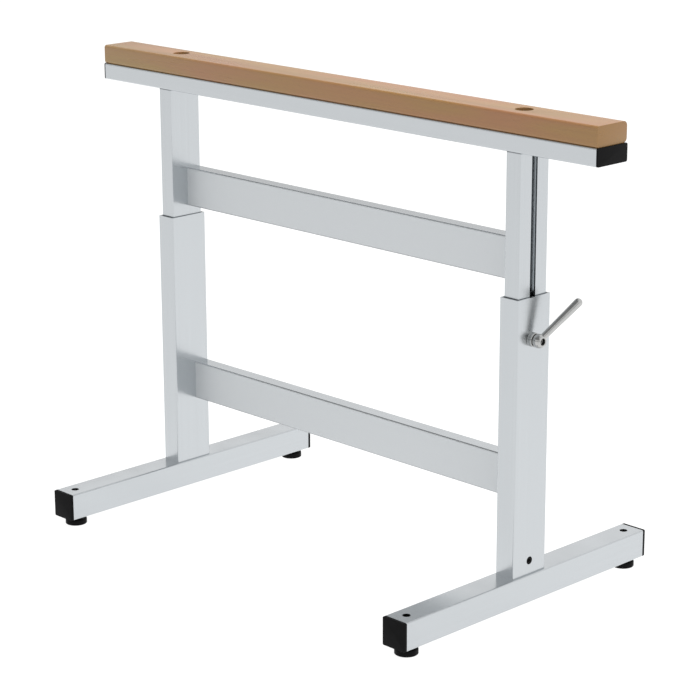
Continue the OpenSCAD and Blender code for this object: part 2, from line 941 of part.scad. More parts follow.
bar_bolt(right);  // bar_bolt_right
bar_washers();
bar_nuts();
pad(left, front);  // pad_left_front
pad(left, back);  // pad_left_back
pad(right, front);  // pad_right_front
pad(right, back);  // pad_right_back
spindle(left, front);  // spindle_left_front
spindle(left, back);  // spindle_left_back
spindle(right, front);  // spindle_right_front
spindle(right, back);  // spindle_right_back
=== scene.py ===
# %% [markdown]
# # A height-adjustable trestle
# The trestle is a beech bar on an aluminium frame. Two posts slide in two sleeves, a lever on each sleeve holds
# the height, and two T feet stand on levelling pads. The solids of the frame come from the CAD model, so this
# lesson is about dressing them: which pieces keep their shape and only need a finish, and which are modelled
# again with the edges, threads and mouldings that the eye expects.

# %% The frame
import json
import math

import bmesh
import bpy
from mathutils import Matrix, Vector


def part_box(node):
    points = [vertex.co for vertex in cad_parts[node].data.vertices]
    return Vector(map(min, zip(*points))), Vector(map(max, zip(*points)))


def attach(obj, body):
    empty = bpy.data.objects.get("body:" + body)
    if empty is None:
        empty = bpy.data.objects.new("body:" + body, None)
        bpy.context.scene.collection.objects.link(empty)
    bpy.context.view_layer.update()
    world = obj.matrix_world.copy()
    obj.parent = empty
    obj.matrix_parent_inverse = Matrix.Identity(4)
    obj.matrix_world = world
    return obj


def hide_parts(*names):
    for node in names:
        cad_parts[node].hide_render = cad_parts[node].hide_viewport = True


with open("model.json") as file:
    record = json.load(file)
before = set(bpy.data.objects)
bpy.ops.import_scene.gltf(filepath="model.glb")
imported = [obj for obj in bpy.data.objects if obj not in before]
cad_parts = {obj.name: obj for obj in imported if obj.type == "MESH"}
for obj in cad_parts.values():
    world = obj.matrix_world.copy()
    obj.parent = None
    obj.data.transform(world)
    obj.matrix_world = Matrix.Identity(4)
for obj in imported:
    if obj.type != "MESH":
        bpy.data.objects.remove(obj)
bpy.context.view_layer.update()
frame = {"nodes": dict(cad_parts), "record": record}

MM = 0.001
nodes = frame["nodes"]
SIDES = {"left": -1, "right": 1}

# %% [markdown]
# ## The camera
# A camera that is a little above the bar looks down at one end of the trestle. Its place, direction and lens were
# worked out from the straight edges of the tubes, so it needs no shift and no depth of field. A camera's own axes
# are right, up and back, which make the columns of its rotation.

# %% Camera
EYE = Vector((2.356583, -2.296199, 1.247342))
LOOK = Vector((-0.68594418, 0.67346524, -0.2755452))
RIGHT = Vector((0.70119525, 0.71296301, -0.00299403))
LENS = 118.994
SENSOR = 36.0

turn = Matrix((RIGHT, RIGHT.cross(LOOK), -LOOK)).transposed()
bpy.ops.object.camera_add(location=EYE, rotation=turn.to_euler())
camera = bpy.context.object
camera.name = "trestle_camera"
camera.data.lens = LENS
camera.data.sensor_width = SENSOR
camera.data.dof.use_dof = False
camera.data.clip_end = 200.0
bpy.context.scene.camera = camera
print("camera", [round(v, 3) for v in camera.location], "lens", camera.data.lens)

# %% [markdown]
# ## Colours and nodes
# A colour picked on a screen is an sRGB value, but a shader adds and multiplies light, so it needs linear values.
# One function turns a hex colour to linear. A second one adds a shader node, sets what is named and joins what is
# given as another node's socket, so that every finish below reads as a list of its nodes.

# %% Colour and node helpers
# A Mix node has an A, a B and a result for every kind of value, all under the same names, so they go by number.
COLOUR_A, COLOUR_B, MIXED_COLOUR = 6, 7, 2
NUMBER_A, NUMBER_B, MIXED_NUMBER = 2, 3, 0


def linear(hex_colour):
    """A hex colour such as #AABBCC as linear red, green, blue and alpha."""
    parts = [int(hex_colour[i:i + 2], 16) / 255 for i in (1, 3, 5)]
    return tuple(c / 12.92 if c <= 0.04045 else ((c + 0.055) / 1.055) ** 2.4 for c in parts) + (1.0,)


def put(tree, kind, inputs=None, stops=None, **settings):
    """Adds one node. Inputs are values or sockets, stops are a ramp's places with their colours."""
    made = tree.nodes.new("ShaderNode" + kind)
    for name, value in settings.items():
        setattr(made, name, value)
    for name, value in (inputs or {}).items():
        if isinstance(value, bpy.types.NodeSocket):
            tree.links.new(value, made.inputs[name])
        else:
            made.inputs[name].default_value = value
    for i, (place, colour) in enumerate(stops or []):
        element = made.color_ramp.elements[i] if i < 2 else made.color_ramp.elements.new(place)
        element.position = place
        element.color = colour
    return made


def grey(level):
    """A linear grey for a ramp."""
    return (level, level, level, 1.0)


def new_finish(name):
    """An empty material, ready for nodes."""
    finish = bpy.data.materials.new(name)
    finish.use_nodes = True
    finish.node_tree.nodes.clear()
    return finish, finish.node_tree


print("white is", linear("#FFFFFF")[:3])

# %% [markdown]
# ## Floor and light
# A catalogue picture of a shiny frame is mostly a picture of what the frame reflects. The sides of the tubes
# reflect the pale floor, so the floor glows a little by itself, slightly more behind the trestle than before it.
# The tops reflect the wall: grey near the floor, with a bright band about twenty degrees up. Above the band the
# wall stays bright behind and to the right and is dim on the left, so the round corners of the tubes stay light on
# the right and draw a dark line on the left. At the far right the wall is bright all the way down. The camera
# itself sees a plain white wall, so that low views keep a clean background. A soft box over the bar makes the top
# of the wood lighter than its front.

# %% Floor, wall and soft box
FLOOR_SIZE = 80.0
SOFT_BOX_AT = (0.0, 0.5, 2.6)
SOFT_BOX_TILT = math.radians(-15)
SOFT_BOX_SIZE = 1.8
SOFT_BOX_WATTS = 44.0
bpy.ops.object.select_all(action="DESELECT")
bpy.ops.mesh.primitive_plane_add(size=FLOOR_SIZE, location=(0, 0, 0))
floor = bpy.context.object
floor.name = "studio_floor"
floor_finish, tree = new_finish("white_painted_floor")
coords = put(tree, "TexCoord")
clouds = put(tree, "TexNoise", {"Vector": coords.outputs["Object"], "Scale": 0.7, "Detail": 2.0})
tint = put(tree, "ValToRGB", {"Fac": clouds.outputs["Fac"]}, [(0.3, grey(0.145)), (0.7, grey(0.155))])
across = put(tree, "SeparateXYZ", {"Vector": coords.outputs["Object"]})
lit = put(tree, "MapRange", {"Value": across.outputs["Y"], "From Min": -0.30, "From Max": -0.15,
                             "To Min": 0.92, "To Max": 0.99})
paint = put(tree, "BsdfPrincipled", {
    "Base Color": tint.outputs["Color"], "Roughness": 0.9, "Specular IOR Level": 0.0,
    "Emission Color": grey(1.0), "Emission Strength": lit.outputs["Result"]})
put(tree, "OutputMaterial", {"Surface": paint.outputs["BSDF"]})
floor.data.materials.append(floor_finish)

world = bpy.data.worlds.new("white_studio")
bpy.context.scene.world = world
world.use_nodes = True
tree = world.node_tree
tree.nodes.clear()
coords = put(tree, "TexCoord")
height = put(tree, "SeparateXYZ", {"Vector": coords.outputs["Generated"]})
up_to_band = [(0.0, grey(0.60)), (0.20, grey(0.60)), (0.28, grey(0.95)), (0.33, grey(1.28)), (0.38, grey(1.25))]
dim_side = put(tree, "ValToRGB", {"Fac": height.outputs["Z"]}, [
    *up_to_band, (0.42, grey(0.45)), (0.62, grey(0.32)), (1.0, grey(0.32))])
lit_side = put(tree, "ValToRGB", {"Fac": height.outputs["Z"]}, [
    *up_to_band, (0.42, grey(0.60)), (0.46, grey(1.0)), (0.80, grey(1.0))])
towards_light = put(tree, "Math", {0: height.outputs["X"], 1: height.outputs["Y"]}, operation="ADD")
share = put(tree, "MapRange", {"Value": towards_light.outputs["Value"], "From Min": -0.10, "From Max": 0.20})
wall = put(tree, "Mix", {"Factor": share.outputs["Result"], COLOUR_A: dim_side.outputs["Color"],
                         COLOUR_B: lit_side.outputs["Color"]}, data_type="RGBA")
far_right = put(tree, "MapRange", {"Value": towards_light.outputs["Value"], "From Min": 0.5, "From Max": 0.9})
room = put(tree, "Mix", {"Factor": far_right.outputs["Result"], COLOUR_A: wall.outputs[MIXED_COLOUR],
                         COLOUR_B: grey(1.0)}, data_type="RGBA")
ray = put(tree, "LightPath")
backdrop = put(tree, "Mix", {"Factor": ray.outputs["Is Camera Ray"], COLOUR_A: room.outputs[MIXED_COLOUR],
                             COLOUR_B: grey(1.1)}, data_type="RGBA")
glow = put(tree, "Background", {"Color": backdrop.outputs[MIXED_COLOUR], "Strength": 1.0})
put(tree, "OutputWorld", {"Surface": glow.outputs["Background"]})

bpy.ops.object.light_add(type="AREA", location=SOFT_BOX_AT, rotation=(SOFT_BOX_TILT, 0, 0))
soft_box = bpy.context.object
soft_box.name = "overhead_soft_box"
soft_box.data.shape = "SQUARE"
soft_box.data.size = SOFT_BOX_SIZE
soft_box.data.energy = SOFT_BOX_WATTS
soft_box.visible_glossy = False

bpy.context.scene.view_settings.view_transform = "Standard"
bpy.context.scene.view_settings.look = "None"
print("floor", FLOOR_SIZE, "m, soft box", soft_box.data.energy, "W")

# %% [markdown]
# ## Finish: anodised aluminium tube
# Extruded tube is drawn through a die, which leaves fine straight lines along its length, and anodising turns the
# surface into an even satin mirror. The lines need to run along each tube, so the same recipe is mixed once for
# every direction. A real die line is about a tenth of a millimetre wide; it is drawn 2 mm wide here, because finer
# lines can't show in the picture. The posts mirror the cross rails, but the fronts of the rails hardly mirror the
# posts, so those two faces are taken as ground matt before anodising. A mask on Object Y keeps that to the face.
# Painted shade draws thin dark lines along the heads of the inner posts, where they meet the beam, and along the
# lower corners of the rails, so each of these pieces gets its own mix, with a second mask on Object Z that paints
# that shade into the metal along the edge. On a rail it stops a little behind the front face, or the whole underside
# would turn dark.

# %% Anodised aluminium
DIE_LINE = 2.0 * MM
DIE_LINE_LENGTH = 400.0 * MM
HANDLING_MARK = 60.0 * MM
GROUND_DEPTH = (0.2 * MM, 0.8 * MM)
GROUND_TONE = "#E0E3E5"
GROUND_ROUGHNESS = 0.75
# Painted shade along the rails' lower corners and the posts' heads: its tone and how far it reaches.
PAINTED_SHADE_TONE = "#7C8084"
RAIL_CORNER = 2.5 * MM
CORNER_DEPTH = (1.5 * MM, 3.5 * MM)
PAINTED_SHADE_BELOW_HEAD = 1.6 * MM


def anodised_aluminium(name, axis, painted_shade_band=None, matt_front=None):
    """Satin anodised extrusion with die lines along one axis. It may have a band of painted shade along an edge,
    darkest at the first of two heights and fading out at the second. With a matt face at a place in Y, only the
    corner at that face gets the painted shade."""
    finish, tree = new_finish(name)
    along = [1 / DIE_LINE] * 3
    along[axis] = 1 / DIE_LINE_LENGTH
    coords = put(tree, "TexCoord")
    lines_at = put(tree, "Mapping", {"Vector": coords.outputs["Object"], "Scale": along})
    lines = put(tree, "TexNoise", {"Vector": lines_at.outputs["Vector"], "Scale": 1.0, "Detail": 3.0})
    marks = put(tree, "TexNoise", {"Vector": coords.outputs["Object"], "Scale": 1 / HANDLING_MARK, "Detail": 4.0})
    tint = put(tree, "ValToRGB", {"Fac": lines.outputs["Fac"]}, [
        (0.25, linear("#C2C6C9")), (0.75, linear("#C5C9CC"))])
    satin = put(tree, "MapRange", {"Value": marks.outputs["Fac"], "From Min": 0.3, "From Max": 0.75,
                                   "To Min": 0.19, "To Max": 0.24})
    ridges = put(tree, "Bump", {"Height": lines.outputs["Fac"], "Strength": 0.008, "Distance": 0.0002})
    colour, shine = tint.outputs["Color"], satin.outputs["Result"]
    if painted_shade_band is not None:
        at = put(tree, "SeparateXYZ", {"Vector": coords.outputs["Object"]})
        near = put(tree, "MapRange", {"Value": at.outputs["Z"], "From Min": painted_shade_band[0], "From Max": painted_shade_band[1],
                                      "To Min": 1.0, "To Max": 0.0})
        shaded = near.outputs["Result"]
        if matt_front is not None:
            ground = put(tree, "MapRange", {
                "Value": at.outputs["Y"], "From Min": matt_front + GROUND_DEPTH[0],
                "From Max": matt_front + GROUND_DEPTH[1], "To Min": 1.0, "To Max": 0.0})
            paler = put(tree, "Mix", {"Factor": ground.outputs["Result"], COLOUR_A: colour,
                                      COLOUR_B: linear(GROUND_TONE)}, data_type="RGBA")
            duller = put(tree, "Mix", {"Factor": ground.outputs["Result"], NUMBER_A: shine,
                                       NUMBER_B: GROUND_ROUGHNESS}, data_type="FLOAT")
            colour, shine = paler.outputs[MIXED_COLOUR], duller.outputs[MIXED_NUMBER]
            in_front = put(tree, "MapRange", {
                "Value": at.outputs["Y"], "From Min": matt_front + CORNER_DEPTH[0],
                "From Max": matt_front + CORNER_DEPTH[1], "To Min": 1.0, "To Max": 0.0})
            corner_only = put(tree, "Math", {0: shaded, 1: in_front.outputs["Result"]}, operation="MULTIPLY")
            shaded = corner_only.outputs["Value"]
        # Paints shade into the colour along that edge.
        painted_shade_mix = put(tree, "Mix", {"Factor": shaded, COLOUR_A: colour, COLOUR_B: linear(PAINTED_SHADE_TONE)},
                     data_type="RGBA")
        colour = painted_shade_mix.outputs[MIXED_COLOUR]
    metal = put(tree, "BsdfPrincipled", {
        "Base Color": colour, "Metallic": 1.0, "Roughness": shine, "Normal": ridges.outputs["Normal"]})
    put(tree, "OutputMaterial", {"Surface": metal.outputs["BSDF"]})
    return finish


anodised = {axis: anodised_aluminium("anodised_aluminium_drawn_" + axis, i) for i, axis in enumerate("xyz")}
edged = {}
# Each rail gets a matt front and a band of painted shade along its lower corners.
for name in ("upper_rail", "lower_rail"):
    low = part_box(name)[0]
    edged[name] = anodised_aluminium(
        "anodised_aluminium_ground_" + name, 0, (low.z, low.z + RAIL_CORNER), matt_front=low.y)
# The head of each inner post gets a band of painted shade where it meets the beam.
for side in SIDES:
    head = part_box("inner_post_" + side)[1].z
    edged["inner_post_" + side] = anodised_aluminium(
        "anodised_aluminium_sawn_inner_post_" + side, 2, (head, head - PAINTED_SHADE_BELOW_HEAD))
print("mixed", [finish.name for finish in [*anodised.values(), *edged.values()]])

# %% [markdown]
# ## Finish: sawn and milled aluminium
# The blocks that join the tubes from inside are cut from plain bar. A saw and a cutter leave short cross marks and
# a duller surface than anodising does.

# %% Milled aluminium
SAW_MARK = 1.2 * MM
SAW_MARK_LENGTH = 25.0 * MM
milled, tree = new_finish("plain_aluminium_milled")
coords = put(tree, "TexCoord")
marks_at = put(tree, "Mapping", {"Vector": coords.outputs["Object"],
                                 "Scale": (1 / SAW_MARK, 1 / SAW_MARK_LENGTH, 1 / SAW_MARK)})
marks = put(tree, "TexNoise", {"Vector": marks_at.outputs["Vector"], "Scale": 1.0, "Detail": 2.0})
tint = put(tree, "ValToRGB", {"Fac": marks.outputs["Fac"]}, [(0.3, linear("#A9ADB0")), (0.7, linear("#C2C5C7"))])
dull = put(tree, "MapRange", {"Value": marks.outputs["Fac"], "To Min": 0.28, "To Max": 0.45})
cuts = put(tree, "Bump", {"Height": marks.outputs["Fac"], "Strength": 0.1, "Distance": 0.0003})
metal = put(tree, "BsdfPrincipled", {
    "Base Color": tint.outputs["Color"], "Metallic": 1.0, "Roughness": dull.outputs["Result"],
    "Normal": cuts.outputs["Normal"]})
put(tree, "OutputMaterial", {"Surface": metal.outputs["BSDF"]})
print("mixed", milled.name)

# %% [markdown]
# ## Finish: beech, planed and oiled
# Beech is pale and even. Its growth rings are close, and cut along the bar they show as long soft streaks, cut
# across at the ends as arcs. A solid pattern gives both for nothing: rings about a pith that lies under the bar,
# bent a little along the length. On top of that come slow patches, one redder and one more olive, and the short
# dark flecks that tell beech from other pale woods.

# %% Beech
RING = 3.5 * MM
PITH = (0.0, -0.03, 0.58)
WAVER = 14.0 * MM
BEND = (200.0 * MM, 25.0 * MM, 50.0 / 3 * MM)
PATCH = (2000.0 / 9 * MM, 500.0 / 11 * MM, 100.0 / 3 * MM)
FLECK = 0.9 * MM
FLECK_LENGTH = 5.625 * MM
BAR_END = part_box("top_bar")[1].x
END_GRAIN = 0.3 * MM
beech, tree = new_finish("beech_planed_and_oiled")
coords = put(tree, "TexCoord")
from_pith = put(tree, "Mapping", {"Vector": coords.outputs["Object"], "Location": [-v for v in PITH]})
slow_at = put(tree, "Mapping", {"Vector": coords.outputs["Object"], "Scale": [1 / v for v in BEND]})
slow = put(tree, "TexNoise", {"Vector": slow_at.outputs["Vector"], "Scale": 1.0, "Detail": 3.0})
bent = put(tree, "VectorMath", {0: from_pith.outputs["Vector"], 1: (0.0, 1.0, 1.0)}, operation="MULTIPLY")
radius = put(tree, "VectorMath", {0: bent.outputs["Vector"]}, operation="LENGTH")
waver = put(tree, "MapRange", {"Value": slow.outputs["Fac"], "To Min": 0.0, "To Max": WAVER})
ring_at = put(tree, "Math", {0: radius.outputs["Value"], 1: waver.outputs["Result"]}, operation="ADD")
ring_no = put(tree, "Math", {0: ring_at.outputs["Value"], 1: RING}, operation="DIVIDE")
ring = put(tree, "Math", {0: ring_no.outputs["Value"], 1: 1.0}, operation="PINGPONG")
patch_at = put(tree, "Mapping", {"Vector": coords.outputs["Object"], "Scale": [1 / v for v in PATCH]})
patches = put(tree, "TexNoise", {"Vector": patch_at.outputs["Vector"], "Scale": 1.0, "Detail": 1.5})
body = put(tree, "ValToRGB", {"Fac": patches.outputs["Fac"]}, [
    (0.30, linear("#9B7B44")), (0.50, linear("#9E7747")), (0.70, linear("#A2724D"))])
late = put(tree, "MapRange", {"Value": ring.outputs["Value"], "From Min": 0.45, "From Max": 1.0, "To Max": 0.22})
streaked = put(tree, "Mix", {"Factor": late.outputs["Result"], COLOUR_A: body.outputs["Color"],
                             COLOUR_B: linear("#966B48")}, data_type="RGBA")
fleck_at = put(tree, "Mapping", {"Vector": coords.outputs["Object"],
                                 "Scale": (1 / FLECK_LENGTH, 1 / FLECK, 1 / FLECK)})
fleck = put(tree, "TexNoise", {"Vector": fleck_at.outputs["Vector"], "Scale": 1.0, "Detail": 0.0})
dark = put(tree, "MapRange", {"Value": fleck.outputs["Fac"], "From Min": 0.66, "From Max": 0.74, "To Max": 0.16})
flecked = put(tree, "Mix", {"Factor": dark.outputs["Result"], COLOUR_A: streaked.outputs[MIXED_COLOUR],
                            COLOUR_B: linear("#7D5C42")}, data_type="RGBA")
oiled = put(tree, "MapRange", {"Value": slow.outputs["Fac"], "To Min": 0.24, "To Max": 0.32})
pores = put(tree, "Bump", {"Height": fleck.outputs["Fac"], "Strength": 0.08, "Distance": 0.0003})
end_at = put(tree, "SeparateXYZ", {"Vector": coords.outputs["Object"]})
from_middle = put(tree, "Math", {0: end_at.outputs["X"]}, operation="ABSOLUTE")
yellower = put(tree, "MapRange", {"Value": from_middle.outputs["Value"], "From Min": BAR_END - END_GRAIN,
                                  "From Max": BAR_END, "To Max": 0.75})
sawn = put(tree, "Mix", {"Factor": yellower.outputs["Result"], COLOUR_A: flecked.outputs[MIXED_COLOUR],
                         COLOUR_B: linear("#926B37")}, data_type="RGBA")
wood = put(tree, "BsdfPrincipled", {
    "Base Color": sawn.outputs[MIXED_COLOUR], "Roughness": oiled.outputs["Result"], "Specular IOR Level": 0.6,
    "Normal": pores.outputs["Normal"]})
put(tree, "OutputMaterial", {"Surface": wood.outputs["BSDF"]})
print("mixed", beech.name)

# %% [markdown]
# ## Finish: moulded black plastic and grey nylon
# The caps and pads are black polypropylene from a spark-eroded mould, which leaves a fine matt grain. The slide
# bushes and plugs are grey nylon, smoother and a little waxy. A grain of a fifth of a millimetre would be lost in
# the picture, so it is drawn at 0.8 mm.

# %% Black plastic and grey nylon
MOULD_GRAIN = 0.8 * MM
SCUFF = 100.0 / 9 * MM


def moulded(name, low, high, rough, shine):
    """A moulded plastic between two tones, with the grain of its mould."""
    finish, tree = new_finish(name)
    coords = put(tree, "TexCoord")
    grain = put(tree, "TexNoise", {"Vector": coords.outputs["Object"], "Scale": 1 / MOULD_GRAIN, "Detail": 2.0})
    scuffs = put(tree, "TexNoise", {"Vector": coords.outputs["Object"], "Scale": 1 / SCUFF, "Detail": 4.0})
    tint = put(tree, "ValToRGB", {"Fac": scuffs.outputs["Fac"]}, [(0.35, linear(low)), (0.75, linear(high))])
    matt = put(tree, "MapRange", {"Value": scuffs.outputs["Fac"], "To Min": rough - 0.08, "To Max": rough + 0.08})
    pits = put(tree, "Bump", {"Height": grain.outputs["Fac"], "Strength": 0.12, "Distance": 0.0004})
    plastic = put(tree, "BsdfPrincipled", {
        "Base Color": tint.outputs["Color"], "Roughness": matt.outputs["Result"], "Specular IOR Level": shine,
        "Normal": pits.outputs["Normal"]})
    put(tree, "OutputMaterial", {"Surface": plastic.outputs["BSDF"]})
    return finish


black_plastic = moulded("polypropylene_moulded_black", "#0B0B0C", "#121213", 0.5, 0.07)
grey_nylon = moulded("nylon_moulded_grey", "#3C3D3F", "#4A4B4D", 0.4, 0.4)
print("mixed", black_plastic.name, "and", grey_nylon.name)

# %% [markdown]
# ## Finish: zinc, black oxide and turned steel
# Small steel parts come in three finishes here. Zinc plating is bright with cloudy bluish patches, black oxide is
# nearly black with a dull shine, and the lever and its washer are turned and polished, which leaves rings too fine
# to see but a brushed look to the highlights.

# %% Steels
TOOL_MARK = 2.0 / 3 * MM


def steel(name, low, high, rough, cloud, lines=0.0):
    """A steel between two tones: cloud is the size of its patches, lines the depth of its tool marks."""
    finish, tree = new_finish(name)
    coords = put(tree, "TexCoord")
    clouds = put(tree, "TexNoise", {"Vector": coords.outputs["Object"], "Scale": 1 / cloud, "Detail": 3.0})
    fine = put(tree, "TexNoise", {"Vector": coords.outputs["Object"], "Scale": 1 / TOOL_MARK, "Detail": 2.0})
    tint = put(tree, "ValToRGB", {"Fac": clouds.outputs["Fac"]}, [(0.3, linear(low)), (0.7, linear(high))])
    shine = put(tree, "MapRange", {"Value": fine.outputs["Fac"], "To Min": rough - 0.06, "To Max": rough + 0.06})
    marks = put(tree, "Bump", {"Height": fine.outputs["Fac"], "Strength": lines, "Distance": 0.0002})
    metal = put(tree, "BsdfPrincipled", {
        "Base Color": tint.outputs["Color"], "Metallic": 1.0, "Roughness": shine.outputs["Result"],
        "Normal": marks.outputs["Normal"]})
    put(tree, "OutputMaterial", {"Surface": metal.outputs["BSDF"]})
    return finish


zinc_steel = steel("steel_bright_zinc_plated", "#A9AFB3", "#C0C4C6", 0.28, 6 * MM, 0.05)
black_steel = steel("steel_black_oxide", "#0C0C0C", "#161616", 0.4, 3 * MM, 0.05)
lever_steel = steel("steel_turned_and_polished", "#B3B4B3", "#BCBCBB", 0.14, 12 * MM, 0.02)
print("mixed", [finish.name for finish in (zinc_steel, black_steel, lever_steel)])

# %% [markdown]
# ## Finishes on the CAD nodes
# A node whose solid is already right keeps it and only gets a better finish in its material slots. The record
# names a slot for each node, so the choice is made from that, and a tube takes the finish whose die lines run
# along it. The rails and the inner posts have mixes of their own.

# %% Finishes on the CAD nodes
plain_finishes = {"mill_aluminium": milled, "beech": beech, "black_plastic": black_plastic, "grey_nylon": grey_nylon,
                  "zinc_steel": zinc_steel, "black_steel": black_steel, "lever_steel": lever_steel}
slot_of = {part["node"]: part["material_slot"] for part in frame["record"]["subparts"]}


def finish_of(name):
    """The finish of a CAD node: by its slot, and for a tube its own mix or the one for its longest side."""
    if slot_of[name] != "anodised_aluminium":
        return plain_finishes[slot_of[name]]
    if name in edged:
        return edged[name]
    low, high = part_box(name)
    size = high - low
    return anodised["xyz"[list(size).index(max(size))]]


for name, node in nodes.items():
    node.data.materials.clear()
    node.data.materials.append(finish_of(name))
print("dressed", len(nodes), "CAD nodes")

# %% [markdown]
# ## The bench
# Every piece below is made the way a hand would make it: add a primitive at its size and place, go into edit mode,
# select some faces or edges, run an operator. A script has no mouse, so faces and edges are picked by where they
# are. These few helpers keep that short. The frame arrives with all its nodes selected, and an operator acts on
# everything that is selected, so each piece starts on a cleared bench.

# %% Bench helpers
TINY = 0.01 * MM
SMOOTH_UP_TO = math.radians(30)


def centre(node):
    """The middle of a CAD node's box."""
    low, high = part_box(node)
    return (low + high) / 2


def clear_bench():
    """Object mode with nothing selected."""
    if bpy.context.object and bpy.context.object.mode != "OBJECT":
        bpy.ops.object.mode_set(mode="OBJECT")
    bpy.ops.object.select_all(action="DESELECT")


def take(piece):
    """Makes one piece the only one selected, and the active one."""
    clear_bench()
    piece.select_set(True)
    bpy.context.view_layer.objects.active = piece
    return piece


def edit(piece):
    """Takes a piece into edit mode."""
    take(piece)
    bpy.ops.object.mode_set(mode="EDIT")


def middle(item):
    """The middle of a corner, an edge or a face."""
    if isinstance(item, bmesh.types.BMVert):
        return item.co
    return sum((corner.co for corner in item.verts), Vector()) / len(item.verts)


def pick(kind, test):
    """In edit mode, selects only the VERTs, EDGEs or FACEs that pass the test."""
    bpy.ops.mesh.select_mode(type=kind)
    bpy.ops.mesh.select_all(action="DESELECT")
    mesh = bmesh.from_edit_mesh(bpy.context.object.data)
    for item in {"VERT": mesh.verts, "EDGE": mesh.edges, "FACE": mesh.faces}[kind]:
        item.select_set(test(item))
    mesh.select_flush_mode()
    bmesh.update_edit_mesh(bpy.context.object.data)


def runs_along(edge, axis):
    """Whether an edge runs along one axis."""
    step = edge.verts[1].co - edge.verts[0].co
    return abs(step[axis]) > 0.99 * step.length


def level(item, axis, value):
    """Whether all corners of an edge or a face are at one value of an axis."""
    return all(abs(corner.co[axis] - value) < TINY for corner in item.verts)


def add_block(name, low, high):
    """A cube at its size and place, with both put into its mesh."""
    clear_bench()
    low, high = Vector(low), Vector(high)
    bpy.ops.mesh.primitive_cube_add(size=1.0, location=(low + high) / 2, scale=high - low)
    bpy.ops.object.transform_apply(location=True, rotation=True, scale=True)
    bpy.context.object.name = name
    return bpy.context.object


def add_hexagon(name, across_flats, low, high):
    """An upright hexagonal bar between two heights, with a corner on the X axis as in the CAD model."""
    clear_bench()
    bpy.ops.mesh.primitive_cylinder_add(
        vertices=6, radius=across_flats / 2 / math.cos(math.radians(30)), depth=high - low,
        location=(0, 0, (low + high) / 2), rotation=(0, 0, math.radians(30)))
    bpy.ops.object.transform_apply(location=True, rotation=True, scale=True)
    bpy.context.object.name = name
    return bpy.context.object


def place(piece, to=(0, 0, 0), turn=(0, 0, 0), scale=(1, 1, 1)):
    """Scales, turns and moves a piece, and puts all three into its mesh."""
    take(piece)
    piece.location = to
    piece.rotation_euler = turn
    piece.scale = scale
    bpy.ops.object.transform_apply(location=True, rotation=True, scale=True)
    return piece


def copy_of(piece, name):
    """A copy with its own mesh."""
    take(piece)
    bpy.ops.object.duplicate(linked=False)
    bpy.context.object.name = name
    return bpy.context.object


def throw_away(*pieces):
    """Deletes pieces that were only patterns or tools."""
    for piece in pieces:
        bpy.data.objects.remove(piece, do_unlink=True)


def combine(piece, other, how):
    """Joins, cuts or intersects a piece with another by an applied boolean, and throws the other away."""
    take(piece)
    bpy.ops.object.modifier_add(type="BOOLEAN")
    step = piece.modifiers[-1]
    step.operation = how
    step.solver = "EXACT"
    step.object = other
    bpy.ops.object.modifier_apply(modifier=step.name)
    throw_away(other)
    return piece


def join(name, *shells):
    """Several shells as one piece."""
    take(shells[0])
    for shell in shells[1:]:
        shell.select_set(True)
    bpy.ops.object.join()
    bpy.context.object.name = name
    return bpy.context.object


def turned(name, outline, steps=64):
    """Draws a half outline of (radius, height) corners in mm, one extrusion at a time, and spins it about Z."""
    clear_bench()
    bpy.ops.mesh.primitive_plane_add(size=1.0)
    piece = bpy.context.object
    piece.name = name
    bpy.ops.object.mode_set(mode="EDIT")
    bpy.ops.mesh.select_mode(type="VERT")
    bpy.ops.mesh.merge(type="CENTER")
    corners = [Vector((radius, 0, height)) * MM for radius, height in outline]
    bpy.ops.transform.translate(value=corners[0])
    for here, there in zip(corners, corners[1:]):
        bpy.ops.mesh.extrude_region_move(TRANSFORM_OT_translate={"value": there - here})
    bpy.ops.mesh.select_all(action="SELECT")
    bpy.ops.mesh.spin(steps=steps, angle=math.tau, center=(0, 0, 0), axis=(0, 0, 1))
    bpy.ops.mesh.select_all(action="SELECT")
    bpy.ops.mesh.remove_doubles(threshold=0.1 * TINY)
    bpy.ops.mesh.normals_make_consistent(inside=False)
    bpy.ops.object.mode_set(mode="OBJECT")
    return piece


def arc(about, radius, start, end, steps):
    """Corners of an arc for an outline, in mm and degrees."""
    angles = [math.radians(start + (end - start) * i / steps) for i in range(steps + 1)]
    return [(about[0] + radius * math.cos(a), about[1] + radius * math.sin(a)) for a in angles]


def hand_over(piece, node, body, finish):
    """Gives a piece its finish and smooth shading up to an angle, hides the node that it stands for and puts the
    piece in its body.
    """
    take(piece)
    bpy.ops.object.shade_smooth_by_angle(angle=SMOOTH_UP_TO)
    piece.data.materials.clear()
    piece.data.materials.append(finish)
    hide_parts(node)
    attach(piece, body)
    return piece


print("bench ready")

# %% [markdown]
# ## The beech bar
# The bar is one length of planed beech. A router has rounded its two back edges well and eased its two front ones,
# and its ends are sawn square. A cube at the bar's size is enough to start from: bevels with many segments round
# the long edges, and a last, much smaller one takes the sharpness off the ends. Each bolt hole is drilled by a
# boolean with a turned cutter, and the cutter carries the flare that eases the rim, so no edge has to be picked
# afterwards.

# %% Beech bar
FRONT_EDGE = 4.0 * MM
BACK_EDGE = 6.5 * MM
END_EDGE = 0.4 * MM

